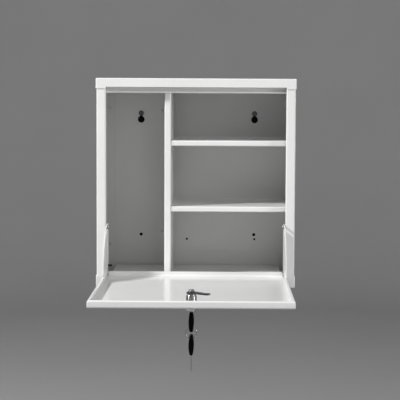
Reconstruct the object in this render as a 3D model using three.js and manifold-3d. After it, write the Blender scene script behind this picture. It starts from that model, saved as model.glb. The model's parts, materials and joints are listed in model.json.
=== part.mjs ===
// A small wall-hung steel cabinet: two side channels between folded caps, a divider and two shelves
// inside, and a shallow door tray that folds down on slotted quarter-round stays. A cam lock with its
// two keys sits near the door's free edge. Millimetres, +Z up, +X right, the front faces -Y.
import * as THREE from "three";
import { mergeVertices } from "three/addons/utils/BufferGeometryUtils.js";
import Module from "manifold-3d";

const wasm = await Module();
wasm.setup();

// ---------------------------------------------------------------- driving dimensions
// Overall box of the carcass, without the open door
const WIDTH = 384;
const HEIGHT = 402;
const DEPTH = 200;

// Sheet metal
const SHEET = 1.2; // carcass sheet
const DOOR_SHEET = 1; // door, divider and shelf sheet
const BEND = 1.2; // inside radius of a fold
const GAP = 0.2; // between pieces that lie against each other
const ROUND = 24; // sides of a drilled hole or a turned piece

// Front frame
const STILE = 17.6; // face of a side channel
const STILE_RETURN = 14; // its flange turned into the cabinet
const TOP_RAIL = 16.9; // cap face between the stiles
const TOP_CORNER = 20.1; // cap face over the stiles
const BOTTOM_RAIL = 18.7;
const BOTTOM_CORNER = 22.4;
const REAR_FLANGE = 17.6;

// Door stop under the top rail
const STOP_PLAY = 0.6; // between its hem and the closed door
const STOP_DROP = 11.2; // below the rail's lower edge
const STOP_HEM = 3.4;
const STOP_UPSTAND = 10;

// Divider and shelves
const DIVIDER_X = -55; // middle of the divider
const DIVIDER_THICK = 12.3;
const DIVIDER_SETBACK = 20;
const DIVIDER_FLANGE = 24;
const SHELF_SETBACK = 22;
const SHELF_FRONT = 10.4; // height of a shelf's front face
const SHELF_RETURN = 9;
const FLOOR_TOP = 17; // floor panel, above the cabinet's underside
const FLOOR_SETBACK = 19;
const FLOOR_PLAY = 0.5; // beside the stays
const SHELF_TOPS = { shelf_upper: 282.3, shelf_lower: 154.7 }; // above the cabinet's underside

// Back panel openings, from the cabinet's middle and its underside
const HANG_X = 117.4; // keyholes and lower fixing holes
const HANG_DOWN = 70; // narrow end of a keyhole, below the cabinet's top
const KEYHOLE_DROP = 12.8;
const KEYHOLE_R = 7;
const KEYHOLE_SLOT = 5.8;
const LOW_HOLE_Z = 80;
const LOW_HOLE_R = 3.3;
const SMALL_HOLES = [[-22, 70.5], [118.5, 70.5]];
const SMALL_HOLE_R = 2.3;

// Wall screws
const SCREW_HEAD_R = 5.4;
const SCREW_HEAD = 3.4;
const SCREW_SHANK_R = 2.4;
const SCREW_IN_WALL = 30;

// Rivets
const RIVET_R = 1.7;
const RIVET_HEAD_R = 3.2;
const RIVET_HEAD = 1.1;
const RIVET_PLAY = 0.2;
const BACK_RIVETS_FROM_END = 60;
const DIVIDER_RIVETS_UP = 87; // lower one, above the underside
const DIVIDER_RIVETS_DOWN = 64; // upper one, below the top

// Door tray, open and level
const DOOR_PLAY = 0.6; // beside the stiles
const DOOR_EDGE_GAP = 0.8; // to the rails, above and below
const DOOR_LIP = 12.8; // height of the side and free-edge lips
const DOOR_RETURN = 5.5; // their inward flange
const DOOR_CORNER = 3; // outside radius of the tray's edges
const HINGE_LIP = 8.8; // height of the lip along the hinge
const HINGE_OFFSET = 8.2; // hinge axis from the door's face and from its hinge edge

// Hinge pins and stays
const HINGE_PIN_R = 3;
const HINGE_PLAY = 0.2;
const HINGE_CAP_R = 7;
const HINGE_CAP = 1.6; // thickness of the washer and of the pin's foot
const HINGE_FOOT_R = 4.4; // clear of the stile's fold
const STAY_SHEET = 1.3;
const STAY_R = 87; // hinge axis to the slot's middle line
const STAY_RIM = 7.5; // from that line to the plate's outer arc
const STAY_PIN_R = 2.5;
const STAY_PLAY = 0.3;
const STAY_PIN_BACK = 12.3; // the stay pin sits this far behind the hinge axis
const STAY_REAR = 18.4; // rear edge of the plate behind the hinge axis
const STAY_PIN_HEAD_R = 4.6;
const STAY_PIN_HEAD = 2.2;
const STAY_COLLAR_R = 4;
const STAY_RIVETS = [40, 80]; // in front of the hinge axis
const BUFFER_R = 2.4;
const BUFFER_LENGTH = 7.7;
const BUFFER_UP = 12; // above the hinge axis, the door open

// Cam lock
const LOCK_FROM_EDGE = 20;
const LOCK_R = 9.2;
const LOCK_FLAT = 8.2; // half the distance across the flats
const LOCK_ABOVE = 19; // barrel above the door's inner face
const LOCK_FACE = 6.5; // face ring below the door
const LOCK_FACE_R = 10.2;
const LOCK_CLIP = 1.2;
const PLUG_R = 6.35;
const PLUG_PLAY = 0.1;
const PLUG_ABOVE = 1.8; // plug above the barrel
const CAM_SHEET = 2.4;
const CAM_REACH = 31.5;
const CAM_HUB_R = 8.5;
const CAM_TIP_R = 4.8;
const CAM_CRANK = 2; // drop from hub to tip
const CAM_TIP = 8; // flat stretch at the tip
const CAM_SQUARE = 8;
const CAM_SCREW_R = 4.2;
const CAM_SCREW_HEAD = 4.6;

// Keys and ring
const KEY_BLADE = 28.4;
const KEY_BLADE_WIDE = 7.8;
const KEY_BLADE_THICK = 2.3;
const KEY_TANG = 11; // blade inside the head
const KEY_PLAY = 0.3;
const KEY_HEAD = 33.6;
const KEY_HEAD_WIDE = 24;
const KEY_HEAD_THICK = 8.8; // at its middle
const KEY_HEAD_END = 5; // thickness at its two ends
const KEY_HOLE_R = 3.2;
const KEY_HOLE_FROM_END = 7.2;
const RING_R = 9.1; // middle line of the wire
const RING_WIRE_R = 0.9;

// ---------------------------------------------------------------- sizes that follow
const SIDE_X = WIDTH / 2 - SHEET - GAP; // outer face of a side channel
const OPEN_X = SIDE_X - STILE; // half the clear opening
const FACE_Y = SHEET + GAP; // front of the stiles, behind the caps
const BACK_Y = DEPTH - SHEET - GAP; // rear of what stands inside the back panel
const IN_Z = SHEET + BEND; // what stands between the caps ends clear of their folds
const HANG_Z = HEIGHT - HANG_DOWN;
const DIVIDER_RIVETS_Z = [DIVIDER_RIVETS_UP, HEIGHT - DIVIDER_RIVETS_DOWN];
const RAIL_Z = HEIGHT - TOP_RAIL;
const STOP_Z = RAIL_Z - STOP_DROP;

const DOOR_X = OPEN_X - DOOR_PLAY;
const DOOR_Z = BOTTOM_RAIL + DOOR_EDGE_GAP; // outer face of the open door
const HINGE_Z = DOOR_Z + HINGE_OFFSET;
const HINGE_Y = HINGE_OFFSET;
const DOOR_REAR = HINGE_Y + HINGE_OFFSET;
const DOOR_FREE = HINGE_Y - (RAIL_Z - DOOR_EDGE_GAP - HINGE_Z);
const DOOR_IN = DOOR_Z + DOOR_SHEET; // inner face of the open door
const LIP_Z = DOOR_Z + DOOR_LIP;

const STAY_OUT = DOOR_X - DOOR_SHEET - GAP; // stay face against the side lip
const STAY_IN = STAY_OUT - STAY_SHEET;
const STAY_PIN_Y = HINGE_Y + STAY_PIN_BACK;
const STAY_PIN_ANGLE = Math.asin(STAY_PIN_BACK / STAY_R); // behind straight up
const STAY_PIN_Z = HINGE_Z + STAY_R * Math.cos(STAY_PIN_ANGLE);
const STAY_SLOT = STAY_PIN_R + STAY_PLAY;
const STAY_OUTER = STAY_R + STAY_RIM;
const STAY_FLOOR = DOOR_Z + DOOR_CORNER + GAP; // clear of the tray's folds
const STAY_RIVET_Z = (DOOR_IN + LIP_Z) / 2;

const LOCK_Y = DOOR_FREE + LOCK_FROM_EDGE;
const BARREL_Z = DOOR_IN + LOCK_ABOVE;
const LOCK_Z = DOOR_Z - LOCK_FACE;
const PLUG_TOP = BARREL_Z + PLUG_ABOVE;
const CAM_TOP = PLUG_TOP + GAP + CAM_SHEET;
const PLUG_FACE = LOCK_Z - 1.2;
const KEY_TOP = PLUG_FACE - KEY_PLAY; // where the first key's head begins

// ---------------------------------------------------------------- materials
const finish = (color, roughness, metalness = 0) =>
  new THREE.MeshStandardMaterial({ color, roughness, metalness });
const whiteCoat = () => finish(0xe9ebec, 0.3);
const zincPlate = () => finish(0xb9bcc0, 0.35, 0.9);
const chromePlate = () => finish(0xd2d4d6, 0.16, 1);
const blackPlastic = () => finish(0x17181a, 0.5);
const blackRubber = () => finish(0x111112, 0.8);

// ---------------------------------------------------------------- geometry helpers
// A closed mesh as a solid that can be cut and joined.
function solid(geometry) {
  const bare = geometry.clone();
  bare.deleteAttribute("normal");
  bare.deleteAttribute("uv");
  const merged = mergeVertices(bare, 1e-4);
  return new wasm.Manifold(
    new wasm.Mesh({
      numProp: 3,
      vertProperties: new Float32Array(merged.attributes.position.array),
      triVerts: new Uint32Array(merged.index.array),
    }),
  );
}

// A solid as a mesh with its name and material.
function piece(name, body, material) {
  const mesh = body.getMesh();
  const geometry = new THREE.BufferGeometry()
    .setAttribute("position", new THREE.BufferAttribute(new Float32Array(mesh.vertProperties), 3))
    .setIndex(new THREE.BufferAttribute(new Uint32Array(mesh.triVerts), 1));
  geometry.computeVertexNormals();
  const made = new THREE.Mesh(geometry, material);
  made.name = name;
  return made;
}

// A box given by its two limits along each axis.
function block([x0, x1], [y0, y1], [z0, z1]) {
  const box = new THREE.BoxGeometry(x1 - x0, y1 - y0, z1 - z0);
  return solid(box.translate((x0 + x1) / 2, (y0 + y1) / 2, (z0 + z1) / 2));
}

// The turn that lays a shape drawn in a plane, and extruded along +Z, along one axis of the cabinet.
const LAY = {
  z: new THREE.Matrix4(), // drawn in X, Y
  x: new THREE.Matrix4().makeBasis(
    new THREE.Vector3(0, 1, 0), new THREE.Vector3(0, 0, 1), new THREE.Vector3(1, 0, 0)), // in Y, Z
  y: new THREE.Matrix4().makeBasis(
    new THREE.Vector3(1, 0, 0), new THREE.Vector3(0, 0, 1), new THREE.Vector3(0, -1, 0)), // in X, Z
};

// A drawn shape extruded between two places along an axis.
function prism(shape, axis, from, to) {
  const geometry = new THREE.ExtrudeGeometry(shape, {
    depth: to - from,
    bevelEnabled: false,
    curveSegments: 6,
  });
  geometry.translate(0, 0, axis === "y" ? -to : from);
  return solid(geometry.applyMatrix4(LAY[axis]));
}

// A straight round bar or hole along an axis, at a place in the other two.
function rod(radius, axis, [u, v], from, to) {
  const circle = new THREE.Shape(
    Array.from({ length: ROUND }, (_, i) => {
      const a = (2 * Math.PI * i) / ROUND;
      return new THREE.Vector2(u + radius * Math.cos(a), v + radius * Math.sin(a));
    }),
  );
  return prism(circle, axis, from, to);
}

// A rectangle with round corners.
function roundedRect([u0, u1], [v0, v1], r) {
  return new THREE.Shape()
    .moveTo(u0 + r, v0)
    .lineTo(u1 - r, v0)
    .absarc(u1 - r, v0 + r, r, -Math.PI / 2, 0)
    .lineTo(u1, v1 - r)
    .absarc(u1 - r, v1 - r, r, 0, Math.PI / 2)
    .lineTo(u0 + r, v1)
    .absarc(u0 + r, v1 - r, r, Math.PI / 2, Math.PI)
    .lineTo(u0, v0 + r)
    .absarc(u0 + r, v0 + r, r, Math.PI, 1.5 * Math.PI);
}

// A block with every edge rounded.
function roundedBlock(x, y, z, r) {
  return prism(roundedRect(x, y, r), "z", ...z)
    .intersect(prism(roundedRect(y, z, r), "x", ...x))
    .intersect(prism(roundedRect(x, z, r), "y", ...y));
}

// A sheet-metal box skin of one thickness, with rounded folds.
function skin(x, y, z, sheet, r) {
  const inset = ([a, b]) => [a + sheet, b - sheet];
  return roundedBlock(x, y, z, r).subtract(
    roundedBlock(inset(x), inset(y), inset(z), r - sheet),
  );
}

// The section of a sheet folded along a line of points on its middle, as a closed shape.
function foldedSheet(points, sheet) {
  const bend = BEND + sheet / 2;
  const middle = [];
  points.forEach(([u, v], i) => {
    const here = new THREE.Vector2(u, v);
    if (i === 0 || i === points.length - 1) {
      middle.push(here);
      return;
    }
    const back = new THREE.Vector2(...points[i - 1]).sub(here).normalize();
    const on = new THREE.Vector2(...points[i + 1]).sub(here).normalize();
    const half = Math.acos(THREE.MathUtils.clamp(back.dot(on), -1, 1)) / 2;
    const reach = bend / Math.tan(half);
    const centre = here.clone().add(
      back.clone().add(on).normalize().multiplyScalar(bend / Math.sin(half)),
    );
    const start = here.clone().addScaledVector(back, reach).sub(centre);
    const turn = here.clone().addScaledVector(on, reach).sub(centre);
    const sweep = Math.atan2(start.cross(turn), start.dot(turn));
    const steps = 4;
    for (let k = 0; k <= steps; k++) {
      middle.push(start.clone().rotateAround(new THREE.Vector2(), (sweep * k) / steps).add(centre));
    }
  });
  const side = (sign) =>
    middle.map((p, i) => {
      const a = middle[Math.max(i - 1, 0)];
      const b = middle[Math.min(i + 1, middle.length - 1)];
      const along = b.clone().sub(a).normalize();
      const corner = i > 0 && i < middle.length - 1
        ? 1 / Math.cos(turnAt(a, p, b) / 2)
        : 1;
      return new THREE.Vector2(-along.y, along.x)
        .multiplyScalar((sign * sheet * corner) / 2)
        .add(p);
    });
  const outline = [...side(1), ...side(-1).reverse()];
  return new THREE.Shape(THREE.ShapeUtils.isClockWise(outline) ? outline.reverse() : outline);
}

// How far a line turns at its middle point.
function turnAt(a, p, b) {
  return b.clone().sub(p).angleTo(p.clone().sub(a));
}

// A turned piece about an axis through a place in the other two: profile points are [radius, along].
function turned(profile, axis, [u, v]) {
  const points = profile.map(([r, along]) => new THREE.Vector2(r, along));
  const geometry = new THREE.LatheGeometry(points, ROUND);
  geometry.rotateX(Math.PI / 2); // the lathe's own axis, Y, becomes +Z
  const made = geometry.applyMatrix4(LAY[axis]);
  const at = { z: [u, v, 0], x: [0, u, v], y: [u, 0, v] }[axis];
  return solid(made.translate(...at));
}

// The same piece on the other side of the middle plane.
function mirrored(body) {
  const mesh = body.getMesh();
  const vertices = new Float32Array(mesh.vertProperties);
  for (let i = 0; i < vertices.length; i += 3) vertices[i] *= -1;
  const triangles = new Uint32Array(mesh.triVerts);
  for (let i = 0; i < triangles.length; i += 3) {
    [triangles[i + 1], triangles[i + 2]] = [triangles[i + 2], triangles[i + 1]];
  }
  return new wasm.Manifold(
    new wasm.Mesh({ numProp: 3, vertProperties: vertices, triVerts: triangles }),
  );
}

// A right-hand solid as a pair of named pieces.
function pair(name, body, material) {
  return [
    piece(name + "_right", body, material()),
    piece(name + "_left", mirrored(body), material()),
  ];
}

// ---------------------------------------------------------------- carcass
function sidePanels() {
  const half = SHEET / 2;
  const section = foldedSheet(
    [
      [OPEN_X + half, FACE_Y + STILE_RETURN],
      [OPEN_X + half, FACE_Y + half],
      [SIDE_X - half, FACE_Y + half],
      [SIDE_X - half, BACK_Y - half],
      [SIDE_X - REAR_FLANGE, BACK_Y - half],
    ],
    SHEET,
  );
  let body = prism(section, "z", IN_Z, HEIGHT - IN_Z);
  body = body.subtract(
    rod(HINGE_PIN_R + HINGE_PLAY, "x", [HINGE_Y, HINGE_Z], OPEN_X - 1, OPEN_X + SHEET + 1),
  );
  for (const z of backRivetHeights()) {
    body = body.subtract(
      rod(RIVET_R + RIVET_PLAY, "y", [backRivetX(), z], BACK_Y - SHEET - 1, BACK_Y + 1),
    );
  }
  return pair("side_panel", body, whiteCoat);
}

// The open side of a cap lies well inside the cabinet before it is cut to height.
function cap(name, from, to, rail, trim) {
  const deep = 4 * BOTTOM_CORNER;
  const wide = [-WIDTH / 2, WIDTH / 2];
  const z = name === "top_cap" ? [to - deep, to] : [from, from + deep];
  const whole = skin(wide, [0, DEPTH + deep], z, SHEET, BEND + SHEET)
    .intersect(block(wide, [0, DEPTH], [from, to]));
  const window = block([-OPEN_X, OPEN_X], [-1, SHEET + BEND], [rail, trim]);
  return piece(name, whole.subtract(window), whiteCoat());
}

function caps() {
  return [
    cap("top_cap", HEIGHT - TOP_CORNER, HEIGHT, HEIGHT - TOP_CORNER - 1, RAIL_Z),
    cap("bottom_cap", 0, BOTTOM_CORNER, BOTTOM_RAIL, BOTTOM_CORNER + 1),
  ];
}

function backPanel() {
  const wide = SIDE_X;
  let body = block([-wide, wide], [DEPTH - SHEET, DEPTH], [IN_Z, HEIGHT - IN_Z]);
  const drill = (r, x, z) => {
    body = body.subtract(rod(r, "y", [x, z], DEPTH - SHEET - 1, DEPTH + 1));
  };
  for (const x of [-HANG_X, HANG_X]) {
    const slot = KEYHOLE_SLOT / 2;
    drill(KEYHOLE_R, x, HANG_Z - KEYHOLE_DROP);
    drill(slot, x, HANG_Z);
    body = body.subtract(
      block([x - slot, x + slot], [DEPTH - SHEET - 1, DEPTH + 1], [HANG_Z - KEYHOLE_DROP, HANG_Z]),
    );
    drill(LOW_HOLE_R, x, LOW_HOLE_Z);
    for (const z of backRivetHeights()) {
      drill(RIVET_R + RIVET_PLAY, Math.sign(x) * backRivetX(), z);
    }
  }
  for (const [x, z] of SMALL_HOLES) drill(SMALL_HOLE_R, x, z);
  for (const z of DIVIDER_RIVETS_Z) drill(RIVET_R + RIVET_PLAY, dividerRivetX(), z);
  return piece("back_panel", body, whiteCoat());
}

function doorStop() {
  const half = SHEET / 2;
  const front = FACE_Y + half;
  const hem = DOOR_LIP + STOP_PLAY + half;
  const strip = hem + 2 * BEND + SHEET + GAP; // as tight as the two folds allow
  const section = foldedSheet(
    [
      [front, RAIL_Z + STOP_UPSTAND],
      [front, RAIL_Z + half],
      [strip, RAIL_Z + half],
      [strip, STOP_Z + half],
      [hem, STOP_Z + half],
      [hem, STOP_Z + STOP_HEM],
    ],
    SHEET,
  );
  return piece("door_stop", prism(section, "x", GAP - OPEN_X, OPEN_X - GAP), whiteCoat());
}

// The floor panel: an upturned channel between the stays, which pass beside it as the door closes.
function floorPanel() {
  const half = SHEET / 2;
  const side = STAY_IN - GAP - FLOOR_PLAY - half;
  const section = foldedSheet(
    [[-side, IN_Z], [-side, FLOOR_TOP - half], [side, FLOOR_TOP - half], [side, IN_Z]],
    SHEET,
  );
  return piece("floor_panel", prism(section, "y", FLOOR_SETBACK, BACK_Y - SHEET - BEND), whiteCoat());
}

// ---------------------------------------------------------------- divider and shelves
const DIVIDER_LEFT = DIVIDER_X - DIVIDER_THICK / 2;
const DIVIDER_RIGHT = DIVIDER_X + DIVIDER_THICK / 2;
const dividerRivetX = () => DIVIDER_LEFT - DIVIDER_FLANGE / 2;

function divider() {
  const half = DOOR_SHEET / 2;
  const rear = BACK_Y - half;
  const section = foldedSheet(
    [
      [DIVIDER_LEFT - DIVIDER_FLANGE, rear],
      [DIVIDER_LEFT + half, rear],
      [DIVIDER_LEFT + half, DIVIDER_SETBACK + half],
      [DIVIDER_RIGHT - half, DIVIDER_SETBACK + half],
      [DIVIDER_RIGHT - half, BACK_Y],
    ],
    DOOR_SHEET,
  );
  let body = prism(section, "z", FLOOR_TOP + GAP, HEIGHT - IN_Z);
  for (const z of DIVIDER_RIVETS_Z) {
    body = body.subtract(
      rod(RIVET_R + RIVET_PLAY, "y", [dividerRivetX(), z], BACK_Y - DOOR_SHEET - 1, BACK_Y + 1),
    );
  }
  return piece("divider", body, whiteCoat());
}

function shelves() {
  const half = DOOR_SHEET / 2;
  return Object.entries(SHELF_TOPS).map(([name, top]) => {
    const low = top - SHELF_FRONT + half;
    const section = foldedSheet(
      [
        [BACK_Y - SHEET - BEND, top - half],
        [SHELF_SETBACK + half, top - half],
        [SHELF_SETBACK + half, low],
        [SHELF_SETBACK + SHELF_RETURN, low],
      ],
      DOOR_SHEET,
    );
    const body = prism(section, "x", DIVIDER_RIGHT + GAP, SIDE_X - SHEET - GAP);
    return piece(name, body, whiteCoat());
  });
}

// ---------------------------------------------------------------- fasteners of the carcass
const backRivetX = () => SIDE_X - REAR_FLANGE / 2;
const backRivetHeights = () => [BACK_RIVETS_FROM_END, HEIGHT - BACK_RIVETS_FROM_END];

// A rivet along Y with its head inside the cabinet and its tail flush with the back panel.
function backRivet(name, x, z, seat) {
  const profile = [
    [0, -DEPTH],
    [RIVET_R, -DEPTH],
    [RIVET_R, -seat + GAP],
    [RIVET_HEAD_R, -seat + GAP],
    [RIVET_HEAD_R * 0.7, -seat + GAP + RIVET_HEAD * 0.75],
    [0, -seat + GAP + RIVET_HEAD],
  ];
  return piece(name, turned(profile, "y", [x, z]), zincPlate());
}

function carcassRivets() {
  const made = [];
  for (const [side, sign] of [["left", -1], ["right", 1]]) {
    for (const [level, z] of [["lower", backRivetHeights()[0]], ["upper", backRivetHeights()[1]]]) {
      made.push(backRivet(`back_rivet_${side}_${level}`, sign * backRivetX(), z, BACK_Y - SHEET));
    }
  }
  DIVIDER_RIVETS_Z.forEach((z, i) => {
    const level = i === 0 ? "lower" : "upper";
    made.push(backRivet(`divider_rivet_${level}`, dividerRivetX(), z, BACK_Y - DOOR_SHEET));
  });
  return made;
}

// A pan-head screw through a keyhole's narrow end, into the wall.
function wallScrews() {
  const seat = DEPTH - SHEET - GAP; // underside of the head
  const profile = [
    [0, -(DEPTH + SCREW_IN_WALL)],
    [SCREW_SHANK_R, -(DEPTH + SCREW_IN_WALL) + 2 * SCREW_SHANK_R],
    [SCREW_SHANK_R, -seat],
    [SCREW_HEAD_R, -seat],
    [SCREW_HEAD_R, -seat + SCREW_HEAD * 0.4],
    [SCREW_HEAD_R * 0.75, -seat + SCREW_HEAD * 0.85],
    [0, -seat + SCREW_HEAD],
  ];
  const recess = { long: 3, wide: 0.6, deep: 1.8 };
  const top = seat - SCREW_HEAD;
  const cross = (u, v) =>
    block([HANG_X - u, HANG_X + u], [top - 1, top + recess.deep], [HANG_Z - v, HANG_Z + v]);
  const body = turned(profile, "y", [HANG_X, HANG_Z])
    .subtract(cross(recess.long, recess.wide))
    .subtract(cross(recess.wide, recess.long));
  return pair("wall_screw", body, zincPlate);
}

// ---------------------------------------------------------------- hinge pins and stay pins
function hingePins() {
  const web = SIDE_X - SHEET - GAP;
  const end = STAY_IN - GAP - HINGE_CAP - 0.8;
  const pin = turned(
    [[0, end], [HINGE_PIN_R - 0.5, end], [HINGE_PIN_R, end + 0.5], [HINGE_PIN_R, web - HINGE_CAP],
      [HINGE_FOOT_R, web - HINGE_CAP], [HINGE_FOOT_R, web], [0, web]],
    "x",
    [HINGE_Y, HINGE_Z],
  );
  const inner = HINGE_PIN_R + GAP / 2;
  const cap0 = STAY_IN - GAP - HINGE_CAP;
  const collar = turned(
    [[inner, cap0], [HINGE_CAP_R - 1, cap0], [HINGE_CAP_R, cap0 + 0.8], [HINGE_CAP_R, cap0 + HINGE_CAP],
      [inner, cap0 + HINGE_CAP], [inner, cap0]],
    "x",
    [HINGE_Y, HINGE_Z],
  );
  return [...pair("hinge_pin", pin, chromePlate), ...pair("hinge_washer", collar, chromePlate)];
}

function stayPins() {
  const web = SIDE_X - SHEET - GAP;
  const shoulder = DOOR_X + GAP;
  const head = STAY_IN - GAP;
  const pin = turned(
    [[0, head - STAY_PIN_HEAD], [STAY_PIN_HEAD_R * 0.7, head - STAY_PIN_HEAD],
      [STAY_PIN_HEAD_R, head - STAY_PIN_HEAD * 0.5], [STAY_PIN_HEAD_R, head], [STAY_PIN_R, head],
      [STAY_PIN_R, shoulder], [STAY_COLLAR_R, shoulder], [STAY_COLLAR_R, web], [0, web]],
    "x",
    [STAY_PIN_Y, STAY_PIN_Z],
  );
  return pair("stay_pin", pin, chromePlate);
}

// ---------------------------------------------------------------- door
function doorPanel() {
  const x = [-DOOR_X, DOOR_X];
  const y = [DOOR_FREE, DOOR_REAR];
  let body = skin(x, y, [DOOR_Z, LIP_Z], DOOR_SHEET, DOOR_CORNER);
  const mouth = DOOR_X - DOOR_RETURN;
  const inner = DOOR_X - DOOR_SHEET - GAP / 2;
  body = body
    .subtract(
      block([-mouth, mouth], [DOOR_FREE + DOOR_RETURN, DOOR_REAR - DOOR_SHEET],
        [LIP_Z - DOOR_CORNER, LIP_Z + 1]),
    )
    .subtract(
      block([-inner, inner], [HINGE_Y - STAY_OUTER - 2, DOOR_REAR + 1],
        [DOOR_Z + HINGE_LIP, LIP_Z + 1]),
    );
  for (const sign of [-1, 1]) {
    const across = [sign * (DOOR_X - 2 * DOOR_SHEET), sign * (DOOR_X + 1)].sort((a, b) => a - b);
    body = body.subtract(rod(HINGE_PIN_R + HINGE_PLAY, "x", [HINGE_Y, HINGE_Z], ...across));
    for (const d of STAY_RIVETS) {
      body = body.subtract(rod(RIVET_R + RIVET_PLAY, "x", [HINGE_Y - d, STAY_RIVET_Z], ...across));
    }
  }
  const hole = rod(LOCK_R + GAP, "z", [0, LOCK_Y], DOOR_Z - 1, DOOR_IN + 1).intersect(
    block([-LOCK_R * 2, LOCK_R * 2], [LOCK_Y - LOCK_FLAT - GAP, LOCK_Y + LOCK_FLAT + GAP],
      [DOOR_Z - 1, DOOR_IN + 1]),
  );
  return piece("door_panel", body.subtract(hole), whiteCoat());
}

// The stay: a quarter-round plate with a slot on an arc about the hinge.
function stayPlates() {
  const at = (r, angle) => [HINGE_Y - r * Math.sin(angle), HINGE_Z + r * Math.cos(angle)];
  const rearAngle = -Math.asin(STAY_REAR / STAY_OUTER);
  const low = Math.acos((STAY_FLOOR - HINGE_Z) / STAY_OUTER);
  const steps = 28;
  const rim = Array.from({ length: steps + 1 }, (_, i) =>
    at(STAY_OUTER, rearAngle + ((low - rearAngle) * i) / steps));
  const heel = DOOR_REAR - DOOR_CORNER - GAP;
  const outline = [
    ...rim,
    [heel, STAY_FLOOR],
    [heel, LIP_Z + 1],
    [HINGE_Y + STAY_REAR, LIP_Z + 6],
  ];
  let body = prism(
    new THREE.Shape(outline.map((p) => new THREE.Vector2(...p))), "x", STAY_IN, STAY_OUT,
  );

  const from = -STAY_PIN_ANGLE;
  const to = Math.PI / 2 - STAY_PIN_ANGLE;
  const arc = (r) => Array.from({ length: 25 }, (_, i) => at(r, from + ((to - from) * i) / 24));
  const sector = [...arc(STAY_R + STAY_SLOT), ...arc(STAY_R - STAY_SLOT).reverse()];
  body = body.subtract(
    prism(new THREE.Shape(sector.map((p) => new THREE.Vector2(...p))), "x", STAY_IN - 1, STAY_OUT + 1),
  );
  for (const angle of [from, to]) {
    body = body.subtract(rod(STAY_SLOT, "x", at(STAY_R, angle), STAY_IN - 1, STAY_OUT + 1));
  }
  body = body.subtract(
    rod(HINGE_PIN_R + HINGE_PLAY, "x", [HINGE_Y, HINGE_Z], STAY_IN - 1, STAY_OUT + 1),
  );
  for (const d of STAY_RIVETS) {
    body = body.subtract(
      rod(RIVET_R + RIVET_PLAY, "x", [HINGE_Y - d, STAY_RIVET_Z], STAY_IN - 1, STAY_OUT + 1),
    );
  }
  return pair("stay_plate", body, whiteCoat);
}

function stayRivets() {
  return STAY_RIVETS.flatMap((d, i) => {
    const head = STAY_IN - GAP;
    const body = turned(
      [[0, head - RIVET_HEAD], [RIVET_HEAD_R * 0.7, head - RIVET_HEAD * 0.75], [RIVET_HEAD_R, head],
        [RIVET_R, head], [RIVET_R, DOOR_X], [0, DOOR_X]],
      "x",
      [HINGE_Y - d, STAY_RIVET_Z],
    );
    return pair(`stay_rivet_${i === 0 ? "rear" : "front"}`, body, zincPlate);
  });
}

// The rubber buffer on the left stay, which meets the cabinet's floor as the door closes.
function closingBuffer() {
  const y = HINGE_Y + HINGE_Z - FLOOR_TOP - BUFFER_R - GAP;
  const base = -(STAY_IN - GAP);
  const body = turned(
    [[0, base], [BUFFER_R, base], [BUFFER_R, base + BUFFER_LENGTH - 1],
      [BUFFER_R - 0.8, base + BUFFER_LENGTH], [0, base + BUFFER_LENGTH]],
    "x",
    [y, HINGE_Z + BUFFER_UP],
  );
  return piece("closing_buffer", body, blackRubber());
}

// ---------------------------------------------------------------- lock
function lockBody() {
  const bore = PLUG_R + PLUG_PLAY;
  const profile = [
    [bore, LOCK_Z], [LOCK_FACE_R - 2.2, LOCK_Z], [LOCK_FACE_R, LOCK_Z + 3.6],
    [LOCK_FACE_R, DOOR_Z - GAP], [LOCK_R, DOOR_Z - GAP], [LOCK_R, BARREL_Z - 0.6],
    [LOCK_R - 0.6, BARREL_Z], [bore, BARREL_Z], [bore, LOCK_Z],
  ];
  let body = turned(profile, "z", [0, LOCK_Y]);
  for (const sign of [-1, 1]) {
    const y = [LOCK_Y + sign * LOCK_FLAT, LOCK_Y + sign * 2 * LOCK_R].sort((a, b) => a - b);
    body = body.subtract(block([-2 * LOCK_R, 2 * LOCK_R], y, [DOOR_Z - GAP, BARREL_Z + 1]));
  }
  return piece("lock_body", body, chromePlate());
}

function lockClip() {
  const wide = LOCK_R + 3;
  const plate = prism(
    roundedRect([-wide, wide], [LOCK_Y - wide, LOCK_Y + wide], 3), "z",
    DOOR_IN + GAP, DOOR_IN + GAP + LOCK_CLIP,
  );
  const jaw = LOCK_FLAT + GAP;
  const z = [DOOR_IN, DOOR_IN + 2 * LOCK_CLIP];
  return piece(
    "lock_clip",
    plate.subtract(block([-2 * wide, LOCK_R + GAP], [LOCK_Y - jaw, LOCK_Y + jaw], z)),
    zincPlate(),
  );
}

function lockPlug() {
  const collar = PLUG_R + 1;
  const profile = [
    [0, PLUG_FACE], [collar, PLUG_FACE], [collar, LOCK_Z - GAP], [PLUG_R, LOCK_Z - GAP],
    [PLUG_R, PLUG_TOP], [0, PLUG_TOP],
  ];
  const half = CAM_SQUARE / 2;
  const slot = { x: KEY_BLADE_THICK / 2 + KEY_PLAY, y: KEY_BLADE_WIDE / 2 + KEY_PLAY };
  const slotTop = KEY_TOP + KEY_BLADE + KEY_PLAY;
  const body = turned(profile, "z", [0, LOCK_Y])
    .add(block([-half, half], [LOCK_Y - half, LOCK_Y + half], [PLUG_TOP - 1, CAM_TOP]))
    .subtract(
      block([-slot.x, slot.x], [LOCK_Y - slot.y, LOCK_Y + slot.y], [PLUG_FACE - 1, slotTop]),
    )
    .subtract(rod(CAM_SCREW_R / 2, "z", [0, LOCK_Y], PLUG_TOP - 1, CAM_TOP + 1));
  return piece("lock_plug", body, chromePlate());
}

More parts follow.
